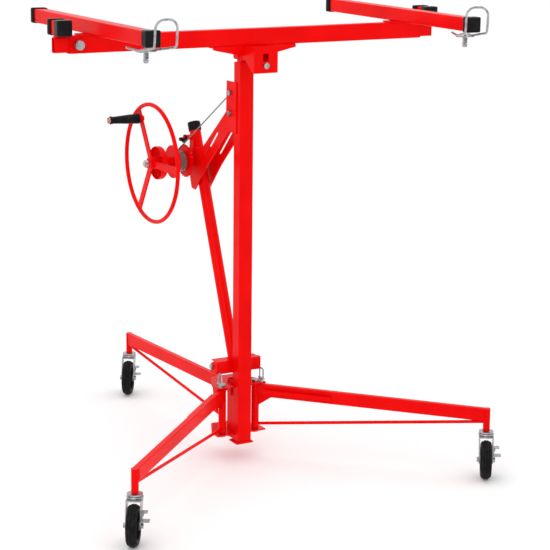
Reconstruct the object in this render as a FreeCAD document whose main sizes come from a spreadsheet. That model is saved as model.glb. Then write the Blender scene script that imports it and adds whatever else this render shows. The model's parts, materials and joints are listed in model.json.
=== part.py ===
import FreeCAD, Part
import math
import os
import re
import Sketcher
from types import SimpleNamespace
from FreeCAD import Placement, Rotation, Vector

# Drywall lift: a three-stage mast on a folding tripod, wound up by a handwheel winch,
# that carries a tilting cradle for one plasterboard sheet.
# Millimetres, +Z up. X runs along the cradle's main beam, -Y is the hook side.
# While it is built the mast axis stands at X = Y = 0 on the floor; at the end the whole
# lift is moved so that the middle of its footprint is the origin.

SIZES = [
    ("mast_width", 46, "outer mast tube, along X"),
    ("mast_depth", 42, "outer mast tube, along Y"),
    ("mast_wall", 2, "wall of all three mast tubes"),
    ("tube_corner", 3, "outside corner radius of the square tubes"),
    ("mast_bottom", 62, "floor to the outer tube's lower end"),
    ("mast_top", 1250, "floor to the outer tube's upper end"),
    ("slide_gap", 2, "gap between nested mast tubes at front and sides"),
    ("outer_cable_gap", 9, "gap behind the middle tube for the winch cable"),
    ("inner_cable_gap", 6, "gap behind the inner tube for the lift cable"),
    ("stage_step", 20, "each nested stage stands this much higher at the top"),
    ("foot_step", 28, "middle tube starts this much above the outer tube's end"),
    ("glide_clearance", 0.2, "nylon glide to the tube that slides on it"),
    ("cable_diameter", 4, "wire rope"),
    ("running_clearance", 0.05, "radial clearance of shafts and pins in their holes"),
    ("groove_clearance", 0.25, "rope to the bottom of a pulley's groove"),
    ("frame_bolt_radius", 5, "pulley axle and the bolts of the winch bracket and post"),
    ("pulley_radius", 20, "top pulley, to the rope's centre line"),
    ("pulley_height", 1155, "top pulley's axle above the floor"),
    ("small_pulley_radius", 13, "middle stage pulley, to the rope's centre line"),
    ("bracket_top", 1190, "floor to the top of the winch bracket"),
    ("bracket_thickness", 4, "winch bracket plates"),
    ("channel_half_width", 78, "cross channel, from the mast's middle to its end"),
    ("channel_height", 40, "cross channel, upright side"),
    ("channel_depth", 42, "cross channel's flanges behind its web"),
    ("post_radius", 18, "winch post tube"),
    ("post_wall", 2, "winch post tube wall"),
    ("post_foot_y", 48, "winch post's lower bolt behind the mast axis"),
    ("post_foot_height", 300, "winch post's lower bolt above the floor"),
    ("post_top_y", 330, "winch post's upper end behind the mast axis"),
    ("post_top_height", 1022, "winch post's upper end above the floor"),
    ("winch_height", 912, "winch shaft above the floor"),
    ("shaft_radius", 8, "winch shaft"),
    ("drum_core_radius", 28, "cable drum's core"),
    ("drum_flange_radius", 52, "cable drum's flanges"),
    ("drum_core_length", 36, "cable drum between its flanges"),
    ("drum_standoff", 22, "cable drum to the left bracket plate"),
    ("ratchet_thickness", 8, "ratchet flange of the cable drum"),
    ("ratchet_teeth", 24, "teeth round the ratchet flange"),
    ("pawl_height", 74, "pawl's pin above the winch shaft"),
    ("wheel_radius", 184, "handwheel, to the rim's centre line"),
    ("rim_radius", 6.5, "half the thickness of the handwheel's rim tube"),
    ("wheel_offset", 170, "handwheel's plane to the mast's middle plane"),
    ("grip_circle", 152, "grip spindle to the winch shaft"),
    ("grip_length", 104, "black grip"),
    ("spindle_radius", 5, "grip spindle"),
    ("spoke_angle", 60, "first spoke, turned from the back of the lift upward"),
    ("hub_offset", 74, "tripod's centre behind the mast axis"),
    ("hub_lower", 84, "underside of the lower hub plate"),
    ("hub_upper", 238, "underside of the upper hub plate"),
    ("hinge_circle", 80, "front leg hinges to the tripod's centre"),
    ("front_leg_angle", 43, "front legs in front of the line across the lift"),
    ("front_leg_reach", 812, "tripod's centre to a front caster stem"),
    ("rear_leg_reach", 757, "tripod's centre to the rear caster stem"),
    ("leg_height", 40, "leg tube, upright side"),
    ("leg_width", 20, "leg tube, flat side"),
    ("leg_wall", 2, "leg tube wall"),
    ("leg_inner_top", 236, "top of the leg tube at its inner end"),
    ("stem_post_radius", 10.65, "half inch pipe post at the outer end of a leg"),
    ("stem_post_bottom", 143, "post's lower end above the floor"),
    ("stem_post_top", 213, "post's upper end above the floor"),
    ("brace_radius", 5, "round rod under each leg"),
    ("stem_radius", 6, "caster stem"),
    ("caster_wheel_radius", 60, "caster wheel"),
    ("caster_wheel_width", 32, "caster wheel"),
    ("caster_trail", 36, "wheel axle to swivel axis"),
    ("caster_heading", 237, "way each caster wheel lies from its stem, from +X"),
    ("hinge_pin_radius", 7, "front leg hinge pins"),
    ("latch_radius", 4, "pull pins that lock the front legs"),
    ("latch_offset", 20, "pull pin to its leg's hinge, outward along the leg"),
    ("plate_thickness", 4, "hub plates and cradle brackets"),
    ("beam_length", 1180, "main beam of the cradle"),
    ("beam_height", 50, "main beam, upright side"),
    ("beam_depth", 30, "main beam, flat side"),
    ("beam_wall", 2, "main beam wall"),
    ("beam_y", -50, "main beam's centre line in front of the mast axis"),
    ("beam_bottom", 1306, "underside of the main beam above the floor"),
    ("extension_gap", 1.5, "extension tube to the inside of the main beam"),
    ("extension_stub", 44, "extension tube outside the beam when pushed in"),
    ("extension_inside", 528, "extension tube inside the beam when pushed in"),
    ("arm_side", 40, "square tube of the cross arms and end heads"),
    ("arm_front", 400, "cross arm in front of the beam's centre line"),
    ("arm_back", 400, "cross arm behind the beam's centre line"),
    ("arm_spacing", 517, "cross arms to the middle of the cradle"),
    ("cap_length", 28, "black end caps"),
    ("cap_wall", 2.3, "black end caps"),
    ("cap_clearance", 0.2, "end cap to the tube inside it"),
    ("head_length", 76, "end heads of the extensions, along Y"),
    ("clamp_inset", 22, "clamp screw to the end of the main beam"),
    ("clamp_radius", 5, "clamp screws of the extensions"),
    ("hook_wire", 6.5, "hook wire's diameter"),
    ("hook_bolt_radius", 4, "bolt that each hook turns on"),
    ("hook_bolt_inset", 45, "hook bolt to the front end of the arm"),
    ("hook_reach", 118, "hook arch in front of its bolt"),
    ("hook_half_width", 32, "half of the hook arch, between wire centres"),
    ("hook_rise", 92, "top of the hook arch above the wire at the bolt"),
    ("cradle_bolt_radius", 6, "tilt bolt and side tilt bolt"),
    ("tilt_pivot_y", -85, "cradle's tilt bolt in front of the mast axis"),
    ("tilt_pivot_height", 1275, "cradle's tilt bolt above the floor"),
    ("saddle_front", 135, "front of the cradle's saddle in front of the mast axis"),
    ("saddle_half_width", 40, "saddle's box, from its middle to its side"),
    ("wing_reach", 139, "saddle's wings, from its middle to their ends"),
    ("roll_pivot_height", 1253, "cradle's side tilt bolt above the floor"),
]

document = FreeCAD.newDocument("DrywallLift")
sheet = document.addObject("Spreadsheet::Sheet", "Sizes")
for row, (alias, value, note) in enumerate(SIZES, 1):
    sheet.set(f"A{row}", alias)
    sheet.set(f"B{row}", str(value))
    sheet.set(f"C{row}", note)
    sheet.setAlias(f"B{row}", alias)
document.recompute()
s = SimpleNamespace(**{alias: float(sheet.get(alias)) for alias, value, note in SIZES})

X = Vector(1, 0, 0)
Y = Vector(0, 1, 0)
Z = Vector(0, 0, 1)
nodes = {}


# ---- Helpers -------------------------------------------------------------------------

def bind(item, prop, rule):
    # A rule is a number or a formula of the sheet's aliases.
    if isinstance(rule, str):
        known = vars(s)
        formula = re.sub(r"[a-z_]+", lambda m: "Sizes." + m[0] if m[0] in known else m[0], rule)
        item.setExpression(prop, formula)
    else:
        setattr(item, prop, rule)


def keep(item, label):
    item.Label = label
    nodes[label] = item
    return item


def frame(origin, along=Z, across=X):
    # Local Z goes along, local X goes across.
    return Placement(origin, Rotation(across, along.cross(across), along, "ZXY"))


def plane_of(body, role):
    return next(item for item in body.Origin.OriginFeatures if item.Role == role)


def sketch_on(body, role):
    sketch = body.newObject("Sketcher::SketchObject", "Outline")
    sketch.AttachmentSupport = (plane_of(body, role), [""])
    sketch.MapMode = "FlatFace"
    return sketch


def draw_rectangle(sketch, width, height):
    # Centred on the sketch's origin, both sides tied to the sheet.
    first = sketch.GeometryCount
    corners = [Vector(-5, -5), Vector(5, -5), Vector(5, 5), Vector(-5, 5)]
    for start, end in zip(corners, corners[1:] + corners[:1]):
        sketch.addGeometry(Part.LineSegment(start, end))
    for side in range(4):
        following = first + (side + 1) % 4
        sketch.addConstraint(Sketcher.Constraint("Coincident", first + side, 2, following, 1))
        direction = "Horizontal" if side % 2 == 0 else "Vertical"
        sketch.addConstraint(Sketcher.Constraint(direction, first + side))
    sketch.addConstraint(Sketcher.Constraint("Symmetric", first, 1, first + 2, 1, -1, 1))
    for side, kind, rule in ((0, "DistanceX", width), (1, "DistanceY", height)):
        index = sketch.addConstraint(Sketcher.Constraint(kind, first + side, 1, first + side, 2, 10.0))
        name = f"side{first + side}"
        sketch.renameConstraint(index, name)
        bind(sketch, f"Constraints.{name}", rule)


def draw_outline(sketch, points):
    # Two numbers are a straight run to that point, four an arc through one point to another.
    start = points[-1][-2:]
    for point in points:
        end = point[-2:]
        if len(point) == 4:
            curve = Part.Arc(Vector(*start), Vector(*point[:2]), Vector(*end))
        else:
            curve = Part.LineSegment(Vector(*start), Vector(*end))
        sketch.addGeometry(curve)
        start = end


def new_body(label):
    return document.addObject("PartDesign::Body", label)


def pad(body, sketch, length):
    feature = body.newObject("PartDesign::Pad", "Pad")
    feature.Profile = sketch
    bind(feature, "Length", length)
    return feature


def square_tube(label, width, depth, length, wall, place):
    # A drawn tube: padded, its long corners rounded, then bored out.
    body = new_body(label)
    outside = sketch_on(body, "XY_Plane")
    draw_rectangle(outside, width, depth)
    solid = pad(body, outside, length)
    document.recompute()
    rounding = body.newObject("PartDesign::Fillet", "Corners")
    upright = [f"Edge{i}" for i, edge in enumerate(solid.Shape.Edges, 1)
               if abs(edge.tangentAt(edge.FirstParameter).z) > 0.9]
    rounding.Base = (solid, upright)
    bind(rounding, "Radius", "tube_corner")
    inside = sketch_on(body, "XY_Plane")
    draw_rectangle(inside, f"{width} - 2 * {wall}", f"{depth} - 2 * {wall}")
    bore = body.newObject("PartDesign::Pocket", "Bore")
    bore.Profile = inside
    bore.Reversed = True
    bind(bore, "Length", length)
    body.Placement = place
    document.recompute()
    return body


def plate(label, points, thickness, place, holes=()):
    # A flat plate in its own XY plane; each hole is x, y, radius.
    body = new_body(label)
    sketch = sketch_on(body, "XY_Plane")
    draw_outline(sketch, points)
    for x, y, radius in holes:
        sketch.addGeometry(Part.Circle(Vector(x, y), Z, radius))
    pad(body, sketch, thickness)
    body.Placement = place
    document.recompute()
    return body


def turned(label, points, place):
    # A lathe part: the outline's first number is the radius, the second is along local Z.
    body = new_body(label)
    sketch = sketch_on(body, "XZ_Plane")
    draw_outline(sketch, points)
    spin = body.newObject("PartDesign::Revolution", "Turned")
    spin.Profile = sketch
    spin.ReferenceAxis = (sketch, ["V_Axis"])
    spin.Angle = 360
    body.Placement = place
    document.recompute()
    return body


def box(width, depth, height, centre):
    # Sides along X, Y and Z, centred on the given point.
    item = document.addObject("Part::Box", "Block")
    for prop, rule in (("Length", width), ("Width", depth), ("Height", height)):
        bind(item, prop, rule)
    item.recompute()
    half = Vector(item.Length.Value, item.Width.Value, item.Height.Value) * 0.5
    item.Placement.Base = centre - half
    return item


def cylinder(radius, length, start, along=Z):
    item = document.addObject("Part::Cylinder", "Round")
    bind(item, "Radius", radius)
    bind(item, "Height", length)
    across = Z if abs(along.z) < 0.9 else X
    item.Placement = frame(start, along, across)
    item.recompute()
    return item


def hexagon(across_flats, length, start, along):
    item = document.addObject("Part::Prism", "Hex")
    item.Polygon = 6
    bind(item, "Circumradius", across_flats / math.sqrt(3))
    bind(item, "Height", length)
    across = Z if abs(along.z) < 0.9 else X
    item.Placement = frame(start, along, across)
    item.recompute()
    return item


def cut(base, *tools):
    item = document.addObject("Part::Cut", "Cut")
    item.Base = base
    item.Tool = tools[0] if len(tools) == 1 else fuse(*tools)
    document.recompute()
    return item


def fuse(*parts):
    item = document.addObject("Part::MultiFuse", "Welded")
    item.Shapes = list(parts)
    item.Refine = True
    document.recompute()
    return item


def group(*parts):
    item = document.addObject("Part::Compound", "Group")
    item.Links = list(parts)
    document.recompute()
    return item


def rounded_path(points, radii):
    # Straight runs joined by tangent arcs.
    edges = []
    start = points[0]
    for before, corner, after, radius in zip(points, points[1:], points[2:], radii):
        arriving = (corner - before).normalize()
        leaving = (after - corner).normalize()
        half_turn = arriving.getAngle(leaving) / 2
        setback = radius * math.tan(half_turn)
        inward = (leaving - arriving).normalize()
        centre = corner + inward * (radius / math.cos(half_turn))
        first = corner - arriving * setback
        last = corner + leaving * setback
        edges.append(Part.makeLine(start, first))
        edges.append(Part.Arc(first, centre - inward * radius, last).toShape())
        start = last
    edges.append(Part.makeLine(start, points[-1]))
    return Part.Wire(edges)


def bent_wire(points, radii, diameter):
    path = rounded_path(points, radii)
    section = Part.Wire(Part.makeCircle(diameter / 2, points[0], points[1] - points[0]))
    item = document.addObject("Part::Feature", "Wire")
    item.Shape = path.makePipeShell([section], True, False)
    return item


def frame_bolt(start, length):
    # Along X: hexagon head at the start, nut at the other end.
    radius = s.frame_bolt_radius
    height = 1.4 * radius
    return fuse(cylinder("frame_bolt_radius", length + height * 1.6, start - X * 0.1, X),
                hexagon(3.2 * radius, height, start - X * height, X),
                hexagon(3.2 * radius, height, start + X * length, X))


# ---- Places worked out from the sizes ------------------------------------------------

mast_front = -s.mast_depth / 2
mast_back = s.mast_depth / 2
middle_front = mast_front + s.mast_wall + s.slide_gap
middle_back = mast_back - s.mast_wall - s.outer_cable_gap
inner_front = middle_front + s.mast_wall + s.slide_gap
inner_back = middle_back - s.mast_wall - s.inner_cable_gap
middle_bottom = s.mast_bottom + s.foot_step
middle_top = s.mast_top + s.stage_step
inner_bottom = middle_bottom + 10
inner_top = s.tilt_pivot_height + 22
middle_half = s.mast_width / 2 - s.mast_wall - s.slide_gap
inner_half = middle_half - s.mast_wall - s.slide_gap

winch_cable_y = middle_back + s.outer_cable_gap / 2
lift_cable_y = inner_back + s.inner_cable_gap / 2
pulley_y = winch_cable_y + s.pulley_radius
small_pulley_y = lift_cable_y + s.small_pulley_radius
small_pulley_height = middle_top + 17
anchor_y = small_pulley_y + s.small_pulley_radius

post_foot = Vector(0, s.post_foot_y, s.post_foot_height)
post_along = (Vector(0, s.post_top_y, s.post_top_height) - post_foot).normalize()
shaft_point = post_foot + post_along * ((s.winch_height - s.post_foot_height) / post_along.z)
bracket_out = s.mast_width / 2 + s.bracket_thickness
drum_right = -(bracket_out + s.drum_standoff)
core_right = drum_right - s.ratchet_thickness
core_left = core_right - s.drum_core_length
drum_left = core_left - 6
pin_hole = s.running_clearance

hub = Vector(0, s.hub_offset, 0)
beam_middle = s.beam_bottom + s.beam_height / 2
beam_top = s.beam_bottom + s.beam_height
arm_bottom = beam_top + s.plate_thickness
arm_middle = arm_bottom + s.arm_side / 2
arm_top = arm_bottom + s.arm_side
extension_height = s.beam_height - 2 * s.beam_wall - 2 * s.extension_gap
beam_end = s.beam_length / 2
cap_over = s.cap_clearance + s.cap_wall
hook_bolt_y = s.beam_y - s.arm_front + s.hook_bolt_inset
hook_level = arm_bottom - cap_over - 11.5


# ---- Mast ----------------------------------------------------------------------------

def build_mast():
    outer = square_tube("OuterTube", "mast_width", "mast_depth", "mast_top - mast_bottom",
                        "mast_wall", frame(Vector(0, 0, s.mast_bottom)))
    slot = box(18, 8, "2 * pulley_radius + 24", Vector(0, mast_back, s.pulley_height))
    keep(cut(outer, slot), "mast_outer_tube")

    middle_y = (middle_front + middle_back) / 2
    middle = square_tube("MiddleTube", "mast_width - 2 * mast_wall - 2 * slide_gap",
                         "mast_depth - 2 * mast_wall - slide_gap - outer_cable_gap",
                         middle_top - middle_bottom, "mast_wall",
                         frame(Vector(0, middle_y, middle_bottom)))
    ear_outline = [(-2, s.mast_top + 9), (26, s.mast_top + 9), (31, small_pulley_height),
                   (24, small_pulley_height + 12), (10, small_pulley_height + 12),
                   (-2, middle_top + 2)]
    ears = [plate("PulleyEar", ear_outline, 2.5, frame(Vector(x, 0, 0), X, Y))
            for x in (middle_half, -middle_half - 2.5)]
    axle = cylinder(3, 2 * middle_half + 7,
                    Vector(-middle_half - 3.5, small_pulley_y, small_pulley_height), X)
    lug = box(12, "outer_cable_gap - 1.4", 8,
              Vector(0, middle_back + (s.outer_cable_gap - 1.4) / 2, middle_bottom + 4))
    lug_hole = cylinder("cable_diameter / 2 + 0.4", 10,
                        Vector(0, winch_cable_y, middle_bottom - 1))
    keep(fuse(middle, *ears, axle, cut(lug, lug_hole)), "mast_middle_tube")

    inner_y = (inner_front + inner_back) / 2
    inner = square_tube("InnerTube", "mast_width - 4 * mast_wall - 4 * slide_gap",
                        "mast_depth - 4 * mast_wall - 2 * slide_gap"
                        " - outer_cable_gap - inner_cable_gap",
                        inner_top - inner_bottom, "mast_wall",
                        frame(Vector(0, inner_y, inner_bottom)))
    lug = box(10, "inner_cable_gap - 0.5", 8,
              Vector(0, inner_back + (s.inner_cable_gap - 0.5) / 2, inner_bottom + 4))
    lug_hole = cylinder("cable_diameter / 2 + 0.3", 10,
                        Vector(0, lift_cable_y, inner_bottom - 1))
    keep(fuse(inner, cut(lug, lug_hole)), "mast_inner_tube")

    glide = s.slide_gap - s.glide_clearance
    height = s.mast_top - 22
    front_pad = box(2 * inner_half, glide, 36,
                    Vector(0, mast_front + s.mast_wall + glide / 2, height))
    side_x = s.mast_width / 2 - s.mast_wall - glide / 2
    side_pads = [box(glide, 16, 36, Vector(x, -4, height)) for x in (side_x, -side_x)]
    keep(group(front_pad, *side_pads), "mast_glides")


def pulley(label, pitch, width, bore):
    # A grooved wheel: the rope's centre line runs on the pitch radius.
    rope = s.cable_diameter / 2
    floor = pitch - rope - s.groove_clearance
    rim = pitch + rope + 0.4
    half = width / 2
    outline = [(bore, -half), (rim, -half), (rim, -half + 1.2), (floor, -rope * 0.7),
               (floor, rope * 0.7), (rim, half - 1.2), (rim, half), (bore, half)]
    return turned(label, outline, Placement())


def build_pulleys():
    top = pulley("TopPulley", s.pulley_radius, 14, s.frame_bolt_radius + pin_hole)
    top.Placement = frame(Vector(0, pulley_y, s.pulley_height), X, Y)
    keep(top, "top_pulley")
    small = pulley("MiddlePulley", s.small_pulley_radius, 9, 3 + pin_hole)
    small.Placement = frame(Vector(0, small_pulley_y, small_pulley_height), X, Y)
    keep(small, "middle_pulley")


def build_cables():
    # The winch cable leaves the top of the drum, runs over the top pulley and down
    # behind the middle tube to a ferrule under that tube's lug.
    pulley_centre = Vector(0, pulley_y, s.pulley_height)
    drum_centre = Vector(0, shaft_point.y, shaft_point.z)
    apart = drum_centre - pulley_centre
    drum_pitch = s.drum_core_radius + s.cable_diameter / 2
    lean = (s.pulley_radius - drum_pitch) / apart.Length
    along = Vector(apart).normalize()
    normal = along * lean + X.cross(along) * math.sqrt(1 - lean * lean)
    leaving = drum_centre + normal * drum_pitch
    touching = pulley_centre + normal * s.pulley_radius
    ratio = (touching.y - winch_cable_y) / (leaving.y - touching.y)
    corner = touching - (leaving - touching) * ratio
    guided = touching + (leaving - touching).normalize() * 4
    leaving += (touching - leaving).normalize() * 17
    leaving.x = (core_left + core_right) / 2
    ferrule_top = middle_bottom - 0.4
    route = [leaving, guided, corner, Vector(0, winch_cable_y, ferrule_top - 10)]
    cable = bent_wire(route, [20, s.pulley_radius], s.cable_diameter)
    ferrule = cylinder("cable_diameter / 2 + 1.4", 9.6, Vector(0, winch_cable_y, ferrule_top - 9.6))
    keep(fuse(cable, ferrule), "winch_cable")

    # The lift cable ties the inner tube's foot to the top of the outer tube, over the
    # middle tube's pulley, so that both stages rise together.
    anchor_top = s.mast_top + 6
    anchor_bottom = s.mast_top - 12
    crown = small_pulley_height + s.small_pulley_radius
    foot = inner_bottom - 8
    route = [Vector(0, anchor_y, anchor_top), Vector(0, anchor_y, crown),
             Vector(0, lift_cable_y, crown), Vector(0, lift_cable_y, foot)]
    cable = bent_wire(route, [s.small_pulley_radius - 0.01] * 2, s.cable_diameter)
    stop = cylinder("cable_diameter / 2 + 0.7", 7.6, Vector(0, lift_cable_y, foot))
    keep(fuse(cable, stop), "lift_cable")

    reach = anchor_y + 6 - mast_back
    bar = box(26, reach, 6, Vector(0, mast_back + reach / 2, anchor_bottom))
    ferrule = cylinder(3.4, anchor_top - anchor_bottom, Vector(0, anchor_y, anchor_bottom))
    keep(fuse(bar, ferrule), "lift_cable_anchor")

    # Turns of cable on the drum, as one sleeve of their outer shape.
    turns = s.drum_core_length - s.cable_diameter * 1.6
    sleeve = turned("CableTurns",
                    [(s.drum_core_radius, 0), (s.drum_core_radius + s.cable_diameter, 0),
                     (s.drum_core_radius + s.cable_diameter, turns), (s.drum_core_radius, turns)],
                    frame(Vector(core_left + 0.4, shaft_point.y, shaft_point.z), X, Y))
    keep(sleeve, "drum_cable_turns")


# ---- Winch ---------------------------------------------------------------------------

def build_winch_bracket():
    shaft = (shaft_point.y, shaft_point.z)
    lower_bolt = (pulley_y, s.pulley_height - 62)
    outline = [(0, s.bracket_top), (mast_back + 38, s.bracket_top),
               (mast_back + 41, s.pulley_height - 60),
               (shaft[0] - 66, shaft[1] + 48), (shaft[0] - 30, shaft[1] + 40),
               (shaft[0] + 19, shaft[1] + 32, shaft[0] + 30, shaft[1] - 18),
               (shaft[0] + 6, shaft[1] - 90), (shaft[0] - 18, shaft[1] - 92),
               (shaft[0] - 94, shaft[1] - 8), (mast_back + 31, s.pulley_height - 120),
               (0, s.pulley_height - 120)]
    slot_start = Vector(shaft[0] - 170, shaft[1] + 112)
    slot_end = Vector(shaft[0] - 88, shaft[1] + 28)
    across = Vector(slot_end.y - slot_start.y, slot_start.x - slot_end.x).normalize() * 5
    bolt_hole = s.frame_bolt_radius + pin_hole
    holes = [(pulley_y, s.pulley_height, bolt_hole), (*lower_bolt, bolt_hole),
             (*shaft, s.shaft_radius + pin_hole)]
    for side, x in (("left", -bracket_out), ("right", s.mast_width / 2)):
        cheek = plate("Cheek" + side, outline, "bracket_thickness",
                      frame(Vector(x, 0, 0), X, Y), holes)
        corners = [slot_start + across, slot_end + across, slot_end - across,
                   slot_start - across]
        slot = plate("Slot" + side, [(p.x, p.y) for p in corners], 10,
                     frame(Vector(x - 3, 0, 0), X, Y))
        keep(cut(cheek, slot), "winch_bracket_" + side)

    start = Vector(-bracket_out - 0.2, pulley_y, s.pulley_height)
    length = 2 * bracket_out + 0.4
    axle = frame_bolt(start, length)
    lower = frame_bolt(Vector(start.x, *lower_bolt), length)
    long_bolt = frame_bolt(post_foot - X * (s.channel_half_width + 0.2),
                           2 * s.channel_half_width + 0.4)
    keep(group(axle, lower, long_bolt), "frame_bolts")


def build_winch_post():
    lower = post_foot - post_along * 11
    length = (s.post_top_height - lower.z) / post_along.z
    outside = cylinder("post_radius", length, lower, post_along)
    inside = cylinder("post_radius - post_wall", length + 4, lower - post_along * 2, post_along)
    foot_hole = cylinder("frame_bolt_radius + running_clearance", 60, post_foot - X * 30, X)
    shaft_hole = cylinder("shaft_radius + running_clearance", 60, shaft_point - X * 30, X)
    keep(cut(outside, inside, foot_hole, shaft_hole), "winch_post")

    top = lower + post_along * length
    over = s.post_radius + s.cap_clearance
    wall = over + s.cap_wall
    cap = turned("PostCap", [(over, -24), (wall, -24), (wall, 2), (wall - 1, 3.6, wall - 4, 5),
                             (0, 5), (0, 0.3), (over, 0.3)],
                 frame(top, post_along, X))
    keep(cap, "winch_post_cap")


def build_cross_channel():
    # A folded channel welded across the back of the mast; the winch post is bolted in it.
    half = s.channel_half_width
    web_front = mast_back + 0.02
    top = s.post_foot_height + s.channel_height / 2
    middle = Vector(0, web_front + s.channel_depth / 2, s.post_foot_height)
    outside = box("2 * channel_half_width", "channel_depth", "channel_height", middle)
    inside = box("2 * channel_half_width - 6", "channel_depth", "channel_height - 6",
                 middle + Y * 3)
    flange_end = web_front + s.channel_depth + 1
    corners = [(web_front + 16, top + 1), (flange_end, top + 1), (flange_end, top - 14)]
    bevels = [plate("Bevel", corners, 5, frame(Vector(x, 0, 0), X, Y))
              for x in (-half - 1, half - 4)]
    hole = cylinder("frame_bolt_radius + running_clearance", 2 * half + 10,
                    post_foot - X * (half + 5), X)
    post_way = cylinder("post_radius + 1", 90, post_foot, post_along)
    keep(cut(outside, inside, hole, post_way, *bevels), "cross_channel")


def build_winch():
    at = Vector(0, shaft_point.y, shaft_point.z)

    # Bearing tube welded to the left bracket plate, with the arm that carries the pawl.
    tube_left = drum_right + 1.5
    length = -bracket_out - tube_left
    tube = cylinder(15, length, at + X * tube_left, X)
    arm_end = s.pawl_height + 10
    arm = plate("PawlArm", [(-14, 4), (14, 4), (14, 40), (10, arm_end), (-10, arm_end), (-14, 40)],
                4, frame(at + X * (-bracket_out - 4), X, Y))
    lug_left = drum_right + 1.2
    lug = cylinder(8, -bracket_out - lug_left, at + Vector(lug_left, 0, s.pawl_height), X)
    pin = cylinder(4, 16, at + Vector(lug_left - 12, 0, s.pawl_height), X)
    bore = cylinder("shaft_radius + running_clearance", 60, at + X * (tube_left - 5), X)
    keep(cut(fuse(tube, arm, lug, pin), bore), "winch_frame")

    left_end = -s.wheel_offset - 27
    right_end = bracket_out + 14
    bar = cylinder("shaft_radius", right_end - left_end, at + X * left_end, X)
    collar = cylinder(14, 8, at + X * (bracket_out + 1.0), X)
    nut = hexagon(22, 8, at + X * (left_end + 3), X)
    keep(fuse(bar, collar, nut), "winch_shaft")

    # The right flange carries the ratchet teeth.
    ring = s.drum_flange_radius
    tooth_angle = 2 * math.pi / s.ratchet_teeth
    tooth_points = []
    for tooth in range(round(s.ratchet_teeth)):
        root = tooth * tooth_angle
        tip = (tooth + 0.86) * tooth_angle
        tooth_points.append(((ring - 5) * math.cos(root), (ring - 5) * math.sin(root)))
        tooth_points.append((ring * math.cos(tip), ring * math.sin(tip)))
    ratchet = plate("Ratchet", tooth_points, "ratchet_thickness",
                    frame(at + X * core_right, X, Y))
    core = cylinder("drum_core_radius", "drum_core_length", at + X * core_left, X)
    flange = cylinder("drum_flange_radius", core_left - drum_left, at + X * drum_left, X)
    hole = cylinder("shaft_radius", 90, at + X * (drum_left - 10), X)
    keep(cut(fuse(ratchet, core, flange), hole), "cable_drum")

    # A dished brake cup, open to the handwheel, on a sleeve that reaches the drum.
    rim = s.drum_flange_radius
    cup_back = 22
    reach = s.wheel_offset - 14 + drum_left
    outline = [(s.shaft_radius, 0), (14, 0), (14, reach - cup_back), (rim - 8, reach - cup_back),
               (rim - 2, reach - cup_back + 3, rim, reach - cup_back + 9), (rim, reach - 1),
               (rim - 3, reach - 1), (rim - 3, reach - cup_back + 9),
               (rim - 4.5, reach - cup_back + 4.6, rim - 9, reach - cup_back + 3),
               (20, reach - cup_back + 3), (20, reach), (s.shaft_radius, reach)]
    cup = turned("BrakeCup", outline, frame(at + X * drum_left, X * -1, Y))
    keep(cup, "brake_cup")

    # Handwheel: a tube rim, three flat spokes and a hub.
    middle = at - X * s.wheel_offset
    rim_ring = document.addObject("Part::Torus", "Rim")
    bind(rim_ring, "Radius1", "wheel_radius")
    bind(rim_ring, "Radius2", "rim_radius")
    rim_ring.Placement = frame(middle, X, Y)
    boss = cylinder(19, 24, middle - X * 10, X)
    spokes = []
    for turn in (s.spoke_angle, s.spoke_angle + 120, s.spoke_angle + 240):
        spoke = document.addObject("Part::Box", "Spoke")
        bind(spoke, "Length", 5)
        bind(spoke, "Width", "wheel_radius - 14")
        bind(spoke, "Height", 22)
        spoke.Placement = Placement(middle, Rotation(X, turn)).multiply(
            Placement(Vector(-2.5, 14, -11), Rotation()))
        spokes.append(spoke)
    direction = Rotation(X, s.spoke_angle).multVec(Y)
    spindle_foot = middle + direction * s.grip_circle
    spindle = cylinder("spindle_radius", "grip_length + 6", spindle_foot, X * -1)
    spindle_head = cylinder(9, 4, spindle_foot - X * (s.grip_length + 5), X * -1)
    spindle_nut = hexagon(17, 8, spindle_foot, X)
    spindle_washer = cylinder(12, 6, spindle_foot, X * -1)
    hole = cylinder("shaft_radius", 60, middle - X * 30, X)
    wheel = fuse(rim_ring, boss, *spokes, spindle, spindle_head, spindle_nut, spindle_washer)
    keep(cut(wheel, hole), "handwheel")

    start = 6.6
    length = s.grip_length - 2.2
    bore = s.spindle_radius + pin_hole
    outline = [(bore, start), (13, start), (15, start + 1.2, 15.6, start + 6),
               (14.5, start + length * 0.35, 12.6, start + length * 0.6),
               (11, start + length - 12), (12.4, start + length - 4),
               (11.6, start + length - 1, 9.6, start + length - 4.4), (bore, start + length - 4.4)]
    grip = turned("Grip", outline, frame(spindle_foot, X * -1, Y))
    keep(grip, "crank_grip")

    # The pawl hangs on its pin and its tip stands just clear of the ratchet.
    pivot = at + Z * s.pawl_height
    reach = s.pawl_height - s.drum_flange_radius
    outline = [(-9, 0), (0, 9, 9, 0), (10, -8), (22, -reach + 8.4), (12, -reach + 3.2),
               (-2, -10), (-9, -8)]
    body = plate("Pawl", outline, 6,
                 frame(Vector(core_right + 1, pivot.y, pivot.z), X, Y),
                 [(0, 0, 4 + pin_hole)])
    knob = cylinder(6, 9, Vector(core_right - 8, pivot.y + 14, pivot.z - 7), X)
    keep(fuse(body, knob), "ratchet_pawl")


# ---- Tripod --------------------------------------------------------------------------

left_angle = 180 + s.front_leg_angle
right_angle = 360 - s.front_leg_angle


def hinge_point(angle):
    return hub + Rotation(Z, angle).multVec(X) * s.hinge_circle


def latch_point(angle):
    return hinge_point(angle) + Rotation(Z, angle).multVec(X) * s.latch_offset


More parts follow.
